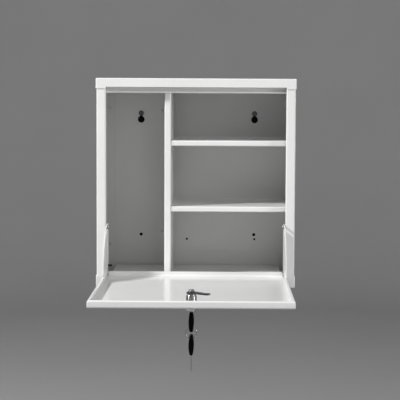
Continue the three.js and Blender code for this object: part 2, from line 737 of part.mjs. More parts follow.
function cam() {
  const level = CAM_TOP - CAM_SHEET / 2;
  const side = prism(
    foldedSheet(
      [[-CAM_HUB_R, level], [CAM_HUB_R, level], [CAM_REACH - CAM_TIP, level - CAM_CRANK],
        [CAM_REACH, level - CAM_CRANK]],
      CAM_SHEET,
    ),
    "y", LOCK_Y - CAM_HUB_R, LOCK_Y + CAM_HUB_R,
  );
  const tip = CAM_REACH - CAM_TIP_R;
  const plan = new THREE.Shape()
    .absarc(0, LOCK_Y, CAM_HUB_R, Math.PI / 2 - 0.2, 1.5 * Math.PI + 0.2)
    .absarc(tip, LOCK_Y, CAM_TIP_R, -Math.PI / 2, Math.PI / 2);
  const square = CAM_SQUARE / 2 + PLUG_PLAY;
  const body = side
    .intersect(prism(plan, "z", level - 2 * CAM_CRANK, level + CAM_CRANK))
    .subtract(
      block([-square, square], [LOCK_Y - square, LOCK_Y + square],
        [level - CAM_SHEET, level + CAM_SHEET]),
    );
  return piece("cam", body, zincPlate());
}

function camScrew() {
  const shank = CAM_SCREW_R / 2 - PLUG_PLAY;
  const top = CAM_TOP + GAP;
  const flange = CAM_SCREW_R + 2;
  const crown = top + CAM_SCREW_HEAD;
  const profile = [
    [0, PLUG_TOP - 0.8], [shank, PLUG_TOP - 0.8], [shank, top], [flange, top], [flange, top + 1.2],
    [flange - 1.2, top + 1.8], [CAM_SCREW_R, crown - 0.5], [CAM_SCREW_R - 0.6, crown], [0, crown],
  ];
  const slot = block([-0.6, 0.6], [LOCK_Y - 2 * CAM_SCREW_R, LOCK_Y + 2 * CAM_SCREW_R],
    [crown - 1.4, crown + 1]);
  return piece("cam_screw", turned(profile, "z", [0, LOCK_Y]).subtract(slot), zincPlate());
}

// ---------------------------------------------------------------- keys
// A key about its ring hole, its flat side facing X and its blade pointing up.
function key(name) {
  const foot = -KEY_HOLE_FROM_END; // free end of the head
  const neck = foot + KEY_HEAD; // where the blade leaves it
  const x = KEY_HEAD_THICK / 2;
  const w = KEY_HEAD_WIDE / 2;
  const bow = new THREE.Shape()
    .moveTo(-w + 7, foot)
    .lineTo(w - 7, foot)
    .quadraticCurveTo(w, foot, w, foot + 8)
    .lineTo(w, foot + KEY_HEAD * 0.55)
    .quadraticCurveTo(w, foot + KEY_HEAD * 0.8, 7, neck - 2)
    .lineTo(6, neck)
    .lineTo(-6, neck)
    .lineTo(-7, neck - 2)
    .quadraticCurveTo(-w, foot + KEY_HEAD * 0.8, -w, foot + KEY_HEAD * 0.55)
    .lineTo(-w, foot + 8)
    .quadraticCurveTo(-w, foot, -w + 7, foot);
  const end = KEY_HEAD_END / 2;
  const bulge = 2 * x - end; // corner of the curve that reaches x at its middle
  const edge = new THREE.Shape()
    .moveTo(-end + 1, foot)
    .lineTo(end - 1, foot)
    .lineTo(end, foot + 1)
    .quadraticCurveTo(bulge, (foot + neck) / 2, end, neck)
    .lineTo(-end, neck)
    .quadraticCurveTo(-bulge, (foot + neck) / 2, -end, foot + 1);
  const tang = [neck - KEY_TANG - KEY_PLAY, neck + 1];
  const half = { x: KEY_BLADE_THICK / 2, y: KEY_BLADE_WIDE / 2 };
  const head = prism(bow, "x", -x, x)
    .intersect(prism(edge, "y", -w, w))
    .subtract(rod(KEY_HOLE_R, "x", [0, 0], -x - 1, x + 1))
    .subtract(
      block([-half.x - GAP, half.x + GAP], [-half.y - GAP, half.y + GAP], tang),
    );
  const tip = neck + KEY_BLADE;
  const cuts = [0.9, 1.7, 0.6, 1.4, 1]; // depth of the wards along the blade
  const pitch = KEY_BLADE / (cuts.length + 2);
  const blade = new THREE.Shape().moveTo(-half.y, neck - KEY_TANG).lineTo(half.y, neck - KEY_TANG);
  blade.lineTo(half.y, neck + pitch);
  cuts.forEach((depth, i) => {
    const z = neck + (i + 1.3) * pitch;
    blade.lineTo(half.y - depth, z).lineTo(half.y - depth, z + pitch * 0.35);
    blade.lineTo(half.y - 0.3, z + pitch * 0.7);
  });
  blade.lineTo(half.y - 2.4, tip).lineTo(-half.y + 1.4, tip).lineTo(-half.y, tip - 1.4);
  const group = new THREE.Group();
  group.add(
    piece(name + "_head", head, blackPlastic()),
    piece(name + "_blade", prism(blade, "x", -half.x, half.x), chromePlate()),
  );
  return group;
}

function keysOnRing() {
  const sag = RING_R - Math.sqrt(RING_R ** 2 - (KEY_HEAD_THICK / 2 + GAP) ** 2);
  const drop = KEY_HOLE_R - sag - RING_WIRE_R - KEY_PLAY; // ring wire below the first key's hole
  const hole1 = KEY_TOP - KEY_HEAD + KEY_HOLE_FROM_END;
  const ringTop = hole1 - drop;
  const hole2 = ringTop - 2 * RING_R - drop;

  const first = key("key_1");
  first.position.set(0, LOCK_Y, hole1);
  const ring = new THREE.Mesh(new THREE.TorusGeometry(RING_R, RING_WIRE_R, 10, 44), chromePlate());
  ring.name = "key_ring";
  ring.rotation.x = Math.PI / 2;
  ring.position.set(0, LOCK_Y, ringTop - RING_R);
  const second = key("key_2");
  second.rotation.x = Math.PI;
  second.position.set(0, LOCK_Y, hole2);
  return [first, ring, second];
}

// ---------------------------------------------------------------- the whole cabinet
// The group's origin is the middle of the back face, on the wall.
const cabinet = new THREE.Group();
cabinet.position.set(0, -DEPTH, -HEIGHT / 2);
cabinet.add(
  ...sidePanels(),
  ...caps(),
  backPanel(),
  doorStop(),
  floorPanel(),
  divider(),
  ...shelves(),
  ...carcassRivets(),
  ...wallScrews(),
  ...hingePins(),
  ...stayPins(),
  doorPanel(),
  ...stayPlates(),
  ...stayRivets(),
  closingBuffer(),
  lockBody(),
  lockClip(),
  lockPlug(),
  cam(),
  camScrew(),
  ...keysOnRing(),
);
const group = new THREE.Group();
group.add(cabinet);

export default group;
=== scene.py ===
"""Looks for a small wall-hung drop-front cabinet of powder-coated sheet steel.

Laid out as an add-on: settings, one operator for each piece or group of like pieces and one for the
stage, and a panel that lists them. Lengths are in metres, in the frame of the packed model.
"""

import json
import math

import bmesh
import bpy
from bpy.props import FloatProperty, FloatVectorProperty, IntProperty, PointerProperty
from mathutils import Matrix, Vector


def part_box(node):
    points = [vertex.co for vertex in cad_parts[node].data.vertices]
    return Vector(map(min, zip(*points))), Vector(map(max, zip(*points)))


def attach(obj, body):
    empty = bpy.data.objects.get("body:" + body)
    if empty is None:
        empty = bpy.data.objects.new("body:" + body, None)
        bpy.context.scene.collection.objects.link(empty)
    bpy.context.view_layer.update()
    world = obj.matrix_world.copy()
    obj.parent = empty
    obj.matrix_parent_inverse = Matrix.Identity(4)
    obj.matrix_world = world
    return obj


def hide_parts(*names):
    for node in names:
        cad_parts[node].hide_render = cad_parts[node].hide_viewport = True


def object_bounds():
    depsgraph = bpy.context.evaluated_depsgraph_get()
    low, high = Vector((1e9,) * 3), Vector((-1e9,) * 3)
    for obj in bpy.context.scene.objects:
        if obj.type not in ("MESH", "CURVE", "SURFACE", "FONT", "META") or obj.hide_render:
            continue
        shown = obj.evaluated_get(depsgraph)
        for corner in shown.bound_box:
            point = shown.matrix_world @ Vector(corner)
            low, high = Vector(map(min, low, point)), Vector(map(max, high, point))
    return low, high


bl_info = {
    "name": "Drop-front wall cabinet",
    "version": (1, 0, 0),
    "blender": (4, 5, 0),
    "location": "3D View > Sidebar > Cabinet",
    "description": "Finishes, fasteners, lock and keys of a small wall-hung steel cabinet",
    "category": "Add Mesh",
}

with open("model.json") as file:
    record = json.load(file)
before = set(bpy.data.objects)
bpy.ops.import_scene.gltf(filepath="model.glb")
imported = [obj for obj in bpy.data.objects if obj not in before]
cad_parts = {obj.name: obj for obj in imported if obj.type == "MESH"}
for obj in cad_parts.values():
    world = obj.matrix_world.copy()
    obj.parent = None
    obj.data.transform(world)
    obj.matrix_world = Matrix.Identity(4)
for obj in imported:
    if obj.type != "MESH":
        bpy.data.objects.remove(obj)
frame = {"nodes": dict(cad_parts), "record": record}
CAD_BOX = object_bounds()
NODES = frame["nodes"]
SLOT_OF = {part["node"]: part["material_slot"] for part in frame["record"]["subparts"]}
BODY_OF = {
    node: body
    for body, members in frame["record"]["behaviour"]["bodies"].items()
    for node in members
}
MM = 0.001


# ---------------------------------------------------------------- settings
def length(name, default, description):
    return FloatProperty(
        name=name, default=default, description=description, min=0.0, unit="LENGTH", precision=5
    )


def colour(name, default, description):
    return FloatVectorProperty(
        name=name, default=default, description=description, subtype="COLOR", size=3, min=0, max=1
    )


def power(name, default, description):
    return FloatProperty(name=name, default=default, description=description, min=0.0, unit="POWER")


class FinishSettings(bpy.types.PropertyGroup):
    """Colours and surface of the finishes."""

    coat: colour("Powder coat", (0.82, 0.82, 0.815), "Colour of the powder-coated sheet")
    coat_gloss: FloatProperty(
        name="Coat roughness", default=0.3, min=0.02, max=0.9,
        description="Roughness of the powder coat",
    )
    peel_size: length("Orange peel", 2.4 * MM, "Distance between the coat's fine waves")
    peel_height: length("Peel height", 0.0006 * MM, "Height of the coat's fine waves")
    chrome: colour("Bright plate", (0.56, 0.56, 0.565), "Colour of the bright plated pieces")
    zinc: colour("Zinc plate", (0.17, 0.17, 0.175), "Colour of the zinc-plated pieces")
    aluminium: colour("Rivets", (0.66, 0.67, 0.69), "Colour of the rivets")
    plastic: colour("Key heads", (0.0008, 0.0008, 0.0008), "Colour of the moulded key heads")
    rubber: colour("Buffer", (0.007, 0.007, 0.007), "Colour of the rubber buffer")


class SheetSettings(bpy.types.PropertyGroup):
    """How the sheet-metal pieces' edges are rounded."""

    edge: length("Cut edges", 0.22 * MM, "Rounding of the sheet's cut edges under the coat")
    plate_edge: length("Plate edges", 0.35 * MM, "Rounding of the lock's stamped plates")
    steps: IntProperty(name="Steps", default=2, min=1, max=6, description="Steps in a rounding")


class FastenerSettings(bpy.types.PropertyGroup):
    """Turned pins, washers and rivets."""

    sides: IntProperty(name="Sides", default=56, min=16, max=128, description="Sides of a turned piece")
    rivet_eye: length("Rivet eye", 1.0 * MM, "Radius of the hole that a rivet's mandrel leaves")
    break_edge: length("Broken edge", 0.3 * MM, "Rounding of a turned edge")
    rivet_dome: length("Rivet dome", 1.1 * MM, "Height of a rivet's head")
    hinge_pin: length("Hinge pin", 3 * MM, "Radius of a hinge pin")
    hinge_head: length("Hinge pin head", 1.6 * MM, "Thickness of a hinge pin's head")
    washer_bore: length("Washer bore", 3.1 * MM, "Radius of a hinge washer's bore")
    stay_head: length("Stay pin head", 2.2 * MM, "Thickness of a stay pin's head")
    stay_neck: length("Stay pin neck", 2.5 * MM, "Radius of a stay pin in the slot")
    stay_neck_long: length("Stay pin neck length", 2.9 * MM, "Length of the neck in the slot")
    stay_shank: length("Stay pin shank", 4 * MM, "Radius of a stay pin behind the slot")


class LockSettings(bpy.types.PropertyGroup):
    """The cam lock's barrel."""

    pitch: length("Thread pitch", 1.0 * MM, "Pitch of the barrel's thread")
    depth: length("Thread depth", 0.5 * MM, "Depth of the barrel's thread")
    flat: length("Half flats", 8.2 * MM, "Half the distance across the barrel's flats")
    wall: length("Barrel wall", 2.75 * MM, "From the plug's bore to the barrel's crest")
    play: length("Plug play", 0.1 * MM, "Gap between the plug and the barrel's bore")
    bevel: length("Mouth bevel", 0.3 * MM, "Bevel at the two ends of the barrel's bore")


class KeySettings(bpy.types.PropertyGroup):
    """The two keys and their ring."""

    hole: length("Ring hole", 3.2 * MM, "Radius of the hole in a key head")
    hole_from_end: length("Hole from end", 7.2 * MM, "From a head's free end to the hole's middle")
    edge: length("Head edge", 1.9 * MM, "Rounding of a head's edges")
    end: length("Head ends", 5 * MM, "Thickness of a head at its two ends")
    recess: length("Grip recess", 0.55 * MM, "Depth of the grip's hollow")
    rib: length("Grip rib", 0.35 * MM, "Height of the ribs in the hollow")
    rib_pitch: length("Rib pitch", 2.4 * MM, "Distance between the ribs")
    groove: length("Blade groove", 0.42 * MM, "Depth of the grooves milled along a blade")
    neck: length("Neck", 12.0 * MM, "Width of a head where the blade leaves it")


class StageSettings(bpy.types.PropertyGroup):
    """Floor, lights and camera."""

    eye: FloatVectorProperty(
        name="Camera", default=(0.04625, -2.55605, 0.17287), subtype="TRANSLATION", unit="LENGTH",
        description="Where the camera stands",
    )
    heading: FloatProperty(
        name="Heading", default=-0.00234, subtype="ANGLE", precision=4,
        description="How far the camera turns to the right",
    )
    tilt: FloatProperty(
        name="Tilt", default=0.06789, subtype="ANGLE", precision=4,
        description="How far the camera looks down",
    )
    roll: FloatProperty(
        name="Roll", default=0.00542, subtype="ANGLE", precision=4,
        description="How far the camera leans to the left",
    )
    lens: FloatProperty(
        name="Lens", default=110.84, subtype="DISTANCE_CAMERA", description="Focal length",
    )
    shift: FloatVectorProperty(
        name="Shift", default=(-0.0426, -0.0575), size=2, description="Lens shift",
    )
    floor_drop: length("Floor drop", 0.5, "From the lowest piece down to the floor")
    floor: colour("Floor", (0.42, 0.42, 0.42), "Colour of the floor and the backdrop")
    radius: length("Backdrop radius", 4.6, "From the cabinet to the backdrop")
    key: power("Key light", 118.0, "Power of the small light high on the left")
    side: power("Side light", 42.0, "Power of the wider light on the right")
    fill: power("Fill light", 8.0, "Power of the wide light in front")
    top: power("Top light", 9.0, "Power of the wide overhead light")
    ambient: FloatProperty(
        name="Ambient", default=0.06, min=0, description="Strength of the even light",
    )


# ---------------------------------------------------------------- mesh helpers
AXES = {
    "X": lambda u, v, along: Vector((along, u, v)),
    "Y": lambda u, v, along: Vector((v, along, u)),
    "Z": lambda u, v, along: Vector((u, v, along)),
}


def skin(name, rows, around=False, closed=False, capped=False, sharp=math.radians(35)):
    """A mesh object over rows of points, smooth except at sharp edges.

    around joins the last row to the first, closed joins the ends of each row, and capped fills the
    first and the last row.
    """
    bm = bmesh.new()
    grid = [[bm.verts.new(point) for point in row] for row in rows]
    high = len(grid)
    wide = len(grid[0])
    for i in range(high if around else high - 1):
        for j in range(wide if closed else wide - 1):
            a, b = grid[i], grid[(i + 1) % high]
            bm.faces.new((a[j], a[(j + 1) % wide], b[(j + 1) % wide], b[j]))
    if capped:
        bm.faces.new(grid[0])
        bm.faces.new(grid[-1])
    bmesh.ops.remove_doubles(bm, verts=bm.verts, dist=1e-7)
    bmesh.ops.recalc_face_normals(bm, faces=bm.faces)
    mesh = bpy.data.meshes.new(name)
    bm.to_mesh(mesh)
    bm.free()
    mesh.shade_smooth()
    mesh.set_sharp_from_angle(angle=sharp)
    piece = bpy.data.objects.new(name, mesh)
    bpy.context.scene.collection.objects.link(piece)
    return piece


def turned(name, profile, axis, centre, sides, loop=False, radius=None):
    """A piece turned about an axis through centre.

    profile holds (radius, place along the axis) pairs, from end to end or as a loop about a bore.
    radius(angle, r, along) may change the radius from place to place.
    """
    rows = []
    for i in range(sides):
        angle = 2 * math.pi * i / sides
        row = []
        for r, along in profile:
            reach = radius(angle, r, along) if radius else r
            row.append(
                AXES[axis](reach * math.cos(angle), reach * math.sin(angle), along)
                + flat_place(axis, centre)
            )
        rows.append(row)
    return skin(name, rows, around=True, closed=loop)


def flat_place(axis, centre):
    """A place with nothing along the axis."""
    return Vector([0.0 if "XYZ"[k] == axis else centre[k] for k in range(3)])


def rounded(corners, edge, steps=4):
    """A profile with its marked corners rounded: corners are (radius, along, round it or not)."""
    points = []
    for i, (r, along, soft) in enumerate(corners):
        here = Vector((r, along))
        if not soft:
            points.append((r, along))
            continue
        before = Vector(corners[i - 1][:2]) - here
        after = Vector(corners[(i + 1) % len(corners)][:2]) - here
        reach = min(edge, 0.45 * before.length, 0.45 * after.length)
        start = here + before.normalized() * reach
        end = here + after.normalized() * reach
        for k in range(steps + 1):
            t = k / steps
            point = start * (1 - t) ** 2 + here * 2 * t * (1 - t) + end * t ** 2
            points.append((point.x, point.y))
    return points


def place(piece, node, finish):
    """Gives a new piece its finish and lets it stand for a node of the packed model."""
    piece.data.materials.append(finish)
    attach(piece, BODY_OF[node])
    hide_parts(node)


JOIN_DISTANCE = 0.002 * MM  # corners closer than this are one
FLAT_ANGLE = math.radians(0.5)  # faces that meet at less than this are one flat
EDGE_ANGLE = math.radians(40)  # edges sharper than this are rounded


def soften(node, edge, steps, finish):
    """Rounds the cut edges of a packed piece and gives it a finish."""
    piece = NODES[node]
    for polygon in piece.data.polygons:
        polygon.use_smooth = True
    weld = piece.modifiers.new("Join corners", "WELD")
    weld.merge_threshold = JOIN_DISTANCE
    flats = piece.modifiers.new("Whole flats", "DECIMATE")
    flats.decimate_type = "DISSOLVE"
    flats.angle_limit = FLAT_ANGLE
    rounding = piece.modifiers.new("Soft edges", "BEVEL")
    rounding.width = edge
    rounding.segments = steps
    rounding.limit_method = "ANGLE"
    rounding.angle_limit = EDGE_ANGLE
    rounding.miter_outer = "MITER_ARC"
    normals = piece.modifiers.new("Shading", "WEIGHTED_NORMAL")
    normals.keep_sharp = True
    normals.weight = 80
    piece.data.materials.clear()
    piece.data.materials.append(finish)


def middle(low, high):
    return (low + high) / 2


# ---------------------------------------------------------------- finishes
class Finish:
    """A material under construction: its node tree, its shader and the coordinates it uses."""

    def __init__(self, name):
        self.material = bpy.data.materials.new(name)
        self.material.use_nodes = True
        self.tree = self.material.node_tree
        self.shader = self.tree.nodes["Principled BSDF"]
        self.place = self.add("ShaderNodeTexCoord").outputs["Object"]

    def add(self, kind, **values):
        node = self.tree.nodes.new(kind)
        for name, value in values.items():
            setattr(node, name, value)
        return node

    def link(self, source, target):
        self.tree.links.new(source, target)

    def set(self, **values):
        for name, value in values.items():
            self.shader.inputs[name.replace("_", " ")].default_value = value

    def noise(self, size, detail=2.0, stretch=(1, 1, 1), roughness=0.5):
        """Noise whose features are about size apart, drawn out along an axis by stretch."""
        mapping = self.add("ShaderNodeMapping")
        mapping.inputs["Scale"].default_value = [1 / s for s in stretch]
        self.link(self.place, mapping.inputs["Vector"])
        noise = self.add("ShaderNodeTexNoise")
        noise.inputs["Scale"].default_value = 1 / size
        noise.inputs["Detail"].default_value = detail
        noise.inputs["Roughness"].default_value = roughness
        self.link(mapping.outputs["Vector"], noise.inputs["Vector"])
        return noise.outputs["Fac"]

    def cells(self, size, randomness=1.0):
        """The grey of each cell in a field of cells about size across."""
        cells = self.add("ShaderNodeTexVoronoi")
        cells.inputs["Scale"].default_value = 1 / size
        cells.inputs["Randomness"].default_value = randomness
        self.link(self.place, cells.inputs["Vector"])
        grey = self.add("ShaderNodeSeparateColor")
        self.link(cells.outputs["Color"], grey.inputs["Color"])
        return grey.outputs["Red"]

    def shade(self, source, low, high, target, span=(0.3, 0.7)):
        """Turns a grey source into a value from low to high for one of the shader's inputs."""
        range_ = self.add("ShaderNodeMapRange")
        for name, value in zip(("From Min", "From Max", "To Min", "To Max"), (*span, low, high)):
            range_.inputs[name].default_value = value
        self.link(source, range_.inputs["Value"])
        self.link(range_.outputs["Result"], self.shader.inputs[target])

    def tint(self, source, first, second, span=(0.3, 0.7)):
        """Turns a grey source into a base colour between two colours."""
        ramp = self.add("ShaderNodeValToRGB")
        ends = ramp.color_ramp.elements
        for end, at, shade in zip(ends, span, (first, second)):
            end.position = at
            end.color = (*shade, 1)
        self.link(source, ramp.inputs["Fac"])
        self.link(ramp.outputs["Color"], self.shader.inputs["Base Color"])

    def relief(self, *layers):
        """Stacks (source, height) layers of fine relief, the coarsest first."""
        normal = None
        for source, height in layers:
            bump = self.add("ShaderNodeBump")
            bump.inputs["Distance"].default_value = height
            bump.inputs["Strength"].default_value = 1.0
            self.link(source, bump.inputs["Height"])
            if normal:
                self.link(normal, bump.inputs["Normal"])
            normal = bump.outputs["Normal"]
        self.link(normal, self.shader.inputs["Normal"])


def scaled(shade, factor):
    return tuple(min(1.0, channel * factor) for channel in shade)


def powder_coat(finishes):
    """Glossy polyester powder coat: fine waves, faint clouding and a slightly uneven gloss."""
    coat = Finish("white_powder_coat")
    coat.set(Specular_IOR_Level=0.08, IOR=1.5, Coat_Weight=0.48, Coat_Roughness=0.03, Coat_IOR=1.5)
    coat.tint(coat.noise(0.09, 3), scaled(finishes.coat, 0.975), scaled(finishes.coat, 1.015))
    gloss = finishes.coat_gloss
    coat.shade(coat.noise(0.15, 1), gloss * 0.94, gloss * 1.07, "Roughness", (0.2, 0.8))
    coat.relief(
        (coat.noise(finishes.peel_size * 5, 1), finishes.peel_height * 2),
        (coat.noise(finishes.peel_size, 2), finishes.peel_height),
    )
    return coat.material


def bright_plate(finishes):
    """Nickel or chrome plate over polished metal, with fine rubbing marks."""
    plate = Finish("bright_plate")
    plate.set(Metallic=1.0)
    plate.tint(plate.noise(3 * MM, 3), scaled(finishes.chrome, 0.93), scaled(finishes.chrome, 1.04))
    plate.shade(plate.noise(1.1 * MM, 4, stretch=(1, 1, 6)), 0.1, 0.24, "Roughness")
    plate.relief((plate.noise(0.35 * MM, 3, stretch=(1, 1, 9)), 0.002 * MM))
    return plate.material


def zinc_plate(finishes):
    """Clear-passivated zinc: small crystals of slightly different grey, satin."""
    zinc = Finish("zinc_plate")
    zinc.set(Metallic=1.0)
    zinc.tint(zinc.cells(1.3 * MM), scaled(finishes.zinc, 0.85), scaled(finishes.zinc, 1.12), (0, 1))
    zinc.shade(zinc.noise(1.6 * MM, 4), 0.26, 0.46, "Roughness")
    zinc.relief((zinc.noise(0.3 * MM, 3), 0.006 * MM))
    return zinc.material


def rivet_metal(finishes):
    """Drawn aluminium, satin from the rivet's nose piece."""
    metal = Finish("rivet_aluminium")
    metal.set(Metallic=1.0)
    metal.tint(metal.noise(1.2 * MM, 2), scaled(finishes.aluminium, 0.9), scaled(finishes.aluminium, 1.08))
    metal.shade(metal.noise(0.5 * MM, 3), 0.28, 0.42, "Roughness")
    metal.relief((metal.noise(0.2 * MM, 2), 0.004 * MM))
    return metal.material


def moulded_plastic(finishes):
    """Black moulded plastic with a spark-eroded grain and paler rubbed places."""
    plastic = Finish("black_plastic")
    plastic.set(IOR=1.5, Specular_IOR_Level=0.05)
    plastic.tint(plastic.noise(5 * MM, 4), finishes.plastic, scaled(finishes.plastic, 2.1))
    plastic.shade(plastic.noise(2.5 * MM, 3), 0.36, 0.56, "Roughness")
    plastic.relief((plastic.noise(1.5 * MM, 2), 0.01 * MM), (plastic.noise(0.18 * MM, 2), 0.012 * MM))
    return plastic.material


def black_rubber(finishes):
    """Dull rubber with a faint bloom."""
    rubber = Finish("black_rubber")
    rubber.set(IOR=1.45, Specular_IOR_Level=0.3)
    rubber.tint(rubber.noise(2 * MM, 4), finishes.rubber, scaled(finishes.rubber, 2.6))
    rubber.shade(rubber.noise(1 * MM, 3), 0.72, 0.9, "Roughness")
    rubber.relief((rubber.noise(0.25 * MM, 3), 0.02 * MM))
    return rubber.material


MAKERS = {
    "white_coat": powder_coat,
    "chrome_plate": bright_plate,
    "zinc_plate": zinc_plate,
    "rivet": rivet_metal,
    "black_plastic": moulded_plastic,
    "black_rubber": black_rubber,
}
made_finishes = {}


def finish_of(node):
    """The finish of a node's material slot, made when it is first asked for."""
    slot = SLOT_OF[node]
    if slot not in made_finishes:
        made_finishes[slot] = MAKERS[slot](bpy.context.scene.cabinet_finishes)
    return made_finishes[slot]


def coat_nodes(names):
    """Rounds and finishes packed sheet pieces."""
    sheet = bpy.context.scene.cabinet_sheet
    for name in names:
        soften(name, sheet.edge, sheet.steps, finish_of(name))


# ---------------------------------------------------------------- sheet metal
class CABINET_OT_carcass(bpy.types.Operator):
    """Coat the side channels, the caps, the back, the stop strip and the floor"""

    bl_idname = "cabinet.carcass"
    bl_label = "Carcass"

    def execute(self, context):
        coat_nodes([
            "side_panel_left", "side_panel_right", "top_cap", "bottom_cap", "back_panel",
            "door_stop", "floor_panel",
        ])
        return {"FINISHED"}


class CABINET_OT_insides(bpy.types.Operator):
    """Coat the divider and the shelves"""

    bl_idname = "cabinet.insides"
    bl_label = "Divider and shelves"

    def execute(self, context):
        coat_nodes(["divider", "shelf_upper", "shelf_lower"])
        return {"FINISHED"}


class CABINET_OT_door(bpy.types.Operator):
    """Coat the door tray and its stays"""

    bl_idname = "cabinet.door"
    bl_label = "Door and stays"

    def execute(self, context):
        coat_nodes(["door_panel", "stay_plate_left", "stay_plate_right"])
        return {"FINISHED"}


# ---------------------------------------------------------------- fasteners
def ends(node, axis):
    """A node's lowest and highest place along an axis, its middle, and its largest radius."""
    low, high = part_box(node)
    k = "XYZ".index(axis)
    across = [high[j] - low[j] for j in range(3) if j != k]
    return low[k], high[k], middle(low, high), max(across) / 2


class CABINET_OT_rivets(bpy.types.Operator):
    """Make the blind rivets, with domed heads and the eye that the mandrel leaves"""

    bl_idname = "cabinet.rivets"
    bl_label = "Rivets"

    def execute(self, context):
        fasteners = context.scene.cabinet_fasteners
        for node in sorted(NODES):
            if SLOT_OF[node] != "rivet":
                continue
            axis = "X" if node.startswith("stay") else "Y"
            low, high, centre, head = ends(node, axis)
            inward = 1 if axis == "X" and centre.x < 0 else -1
            top = high if inward > 0 else low
            tail = low if inward > 0 else high
            self.make(node, axis, centre, top, tail, head, inward, fasteners)
        return {"FINISHED"}

    def make(self, node, axis, centre, top, tail, head, inward, fasteners):
        """One rivet: top is the crown of its head, tail its flush end."""
        dome = fasteners.rivet_dome
        shank = 0.53 * head
        eye = fasteners.rivet_eye
        seat = top - inward * dome
        crown = [
            (head * math.cos(a), seat + inward * dome * (0.25 + 0.75 * math.sin(a)))
            for a in (math.radians(8 * k) for k in range(9))
        ]
        profile = [
            (0, tail), (shank, tail), (shank, seat), (head * 0.97, seat), (head, seat + inward * dome * 0.1),
            *crown, (eye * 1.15, top - inward * 0.12 * dome), (eye, top - inward * 0.3 * dome),
            (eye * 0.92, top - inward * 0.75 * dome), (0, top - inward * 0.6 * dome),
        ]
        piece = turned(node + "_riveted", profile, axis, centre, fasteners.sides)
        place(piece, node, finish_of(node))


class CABINET_OT_wall_screws(bpy.types.Operator):
    """Round and plate the wall screws"""

    bl_idname = "cabinet.wall_screws"
    bl_label = "Wall screws"

    def execute(self, context):
        sheet = context.scene.cabinet_sheet
        for node in ("wall_screw_left", "wall_screw_right"):
            soften(node, sheet.edge, sheet.steps, finish_of(node))
        return {"FINISHED"}


class CABINET_OT_pins(bpy.types.Operator):
    """Make the hinge pins, their washers and the pins that the stays slide on"""

    bl_idname = "cabinet.pins"
    bl_label = "Hinge and stay pins"

    def execute(self, context):
        fasteners = context.scene.cabinet_fasteners
        for side in ("left", "right"):
            out = 1 if side == "right" else -1
            self.hinge(side, out, fasteners)
            self.washer(side, fasteners)
            self.stay(side, out, fasteners)
        return {"FINISHED"}

    def hinge(self, side, out, fasteners):
        node = "hinge_pin_" + side
        low, high, centre, foot = ends(node, "X")
        inner, outer = (low, high) if out > 0 else (high, low)
        pin = fasteners.hinge_pin
        shoulder = outer - out * fasteners.hinge_head
        corners = [
            (0, inner + out * 0.25 * MM, False), (pin * 0.35, inner, False), (pin, inner, True),
            (pin, shoulder, False), (foot, shoulder, True), (foot, outer, True), (0, outer, False),
        ]
        self.turn(node, corners, 2 * fasteners.break_edge, centre, fasteners.sides)

    def washer(self, side, fasteners):
        node = "hinge_washer_" + side
        low, high, centre, rim = ends(node, "X")
        bore = fasteners.washer_bore
        corners = [(bore, low, True), (rim, low, True), (rim, high, True), (bore, high, True)]
        self.turn(node, corners, fasteners.break_edge, centre, fasteners.sides, loop=True)

    def stay(self, side, out, fasteners):
        node = "stay_pin_" + side
        low, high, centre, head = ends(node, "X")
        inner, outer = (low, high) if out > 0 else (high, low)
        seat = inner + out * fasteners.stay_head
        shoulder = seat + out * fasteners.stay_neck_long
        neck = fasteners.stay_neck
        shank = fasteners.stay_shank
        corners = [
            (0, inner, False), (head * 0.62, inner, True),
            (head, inner + out * 0.5 * fasteners.stay_head, True), (head, seat, True),
            (neck, seat, False), (neck, shoulder, False),
            (shank, shoulder, True), (shank, outer, True), (0, outer, False),
        ]
        self.turn(node, corners, 2 * fasteners.break_edge, centre, fasteners.sides)

    def turn(self, node, corners, edge, centre, sides, loop=False):
        profile = rounded(corners, edge)
        piece = turned(node + "_turned", profile, "X", centre, sides, loop=loop)
        place(piece, node, finish_of(node))


class CABINET_OT_buffer(bpy.types.Operator):
    """Make the rubber buffer on the left stay"""

    bl_idname = "cabinet.buffer"
    bl_label = "Closing buffer"

    def execute(self, context):
        node = "closing_buffer"
        low, high, centre, rim = ends(node, "X")
        bead = low + 0.22 * (high - low)
        corners = [
            (0, low, False), (rim, low, True), (rim, bead, True), (rim * 0.9, bead + 0.3 * MM, True),
            (rim * 0.94, high - 0.9 * MM, True), (rim * 0.6, high, True), (0, high, False),
        ]
        sides = context.scene.cabinet_fasteners.sides
        place(
            turned("buffer_moulded", rounded(corners, 0.5 * MM), "X", centre, sides),
            node, finish_of(node),
        )
        return {"FINISHED"}


